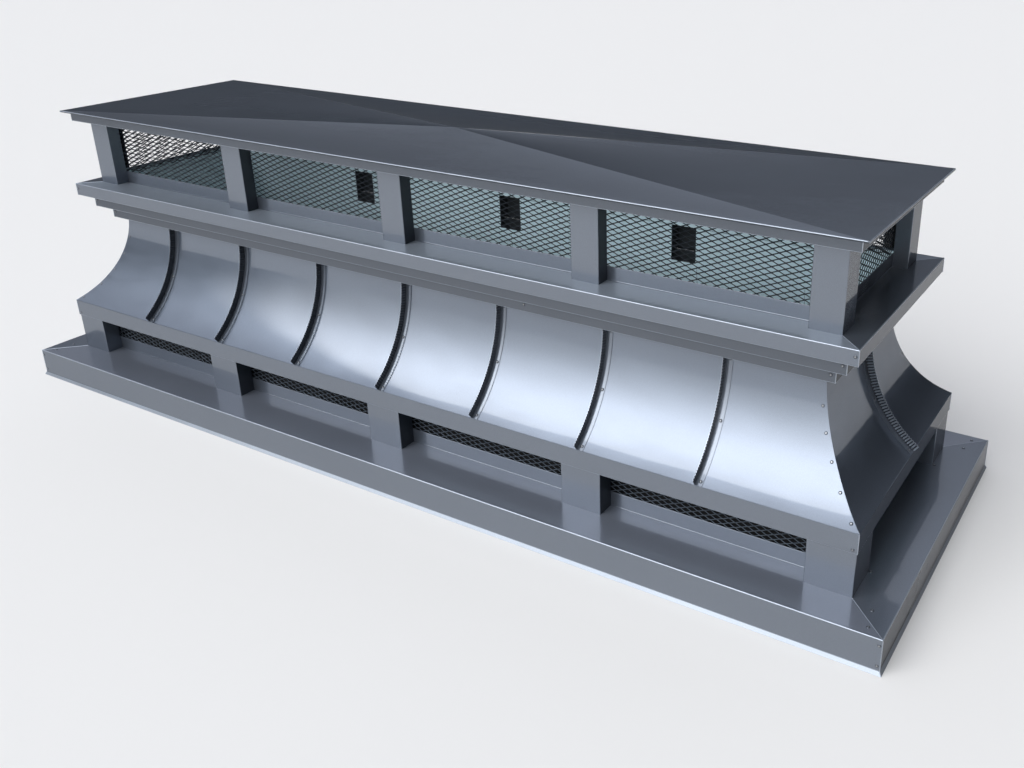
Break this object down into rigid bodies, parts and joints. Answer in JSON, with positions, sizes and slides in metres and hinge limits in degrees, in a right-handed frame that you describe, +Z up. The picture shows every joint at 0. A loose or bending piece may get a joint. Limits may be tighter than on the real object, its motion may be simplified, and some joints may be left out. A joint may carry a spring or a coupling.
{
  "type": "chimney shroud",
  "caption": "Long rectangular sheet-metal chimney shroud: drip-hemmed base pan, screened vent bands between posts, flared seamed roof skirt, stepped cornice and low hipped cap.",
  "frame": {"origin": "centre of the footprint at the foot of the drip hem", "axes": "+X along the long side, +Z up, the front faces -Y"},
  "size_m": [2.752, 0.926, 0.8585],
  "materials": {
    "painted_sheet": "slate grey coil coating with a soft metallic sheen, semi-gloss, pale backing coat on the inside",
    "screen_mesh": "black coated expanded metal"
  },
  "bodies": {
    "root": {"base_pan_front": "painted_sheet", "base_pan_back": "painted_sheet", "base_pan_left": "painted_sheet", "base_pan_right": "painted_sheet", "lower_corner_posts": "painted_sheet", "lower_posts_front": "painted_sheet", "lower_posts_back": "painted_sheet", "lower_screen_front": "screen_mesh", "lower_screen_back": "screen_mesh", "lower_screens_ends": "screen_mesh", "skirt_fascia_front": "painted_sheet", "skirt_fascia_back": "painted_sheet", "skirt_fascia_left": "painted_sheet", "skirt_fascia_right": "painted_sheet", "flared_panels_front": "painted_sheet", "flared_panels_back": "painted_sheet", "flared_panels_left": "painted_sheet", "flared_panels_right": "painted_sheet", "seam_ribs_front": "painted_sheet", "seam_ribs_back": "painted_sheet", "seam_ribs_ends": "painted_sheet", "lower_step_front": "painted_sheet", "lower_step_back": "painted_sheet", "lower_step_ends": "painted_sheet", "upper_step_front": "painted_sheet", "upper_step_back": "painted_sheet", "upper_step_ends": "painted_sheet", "upper_tray_front": "painted_sheet", "upper_tray_back": "painted_sheet", "upper_tray_left": "painted_sheet", "upper_tray_right": "painted_sheet", "upper_corner_posts": "painted_sheet", "upper_posts_front": "painted_sheet", "upper_posts_back": "painted_sheet", "upper_screen_front": "screen_mesh", "upper_screen_back": "screen_mesh", "upper_screens_ends": "screen_mesh", "top_rail_front": "painted_sheet", "top_rail_back": "painted_sheet", "top_rail_left": "painted_sheet", "top_rail_right": "painted_sheet", "roof_panel_front": "painted_sheet", "roof_panel_back": "painted_sheet", "roof_panel_left": "painted_sheet", "roof_panel_right": "painted_sheet"}
  },
  "joints": []
}
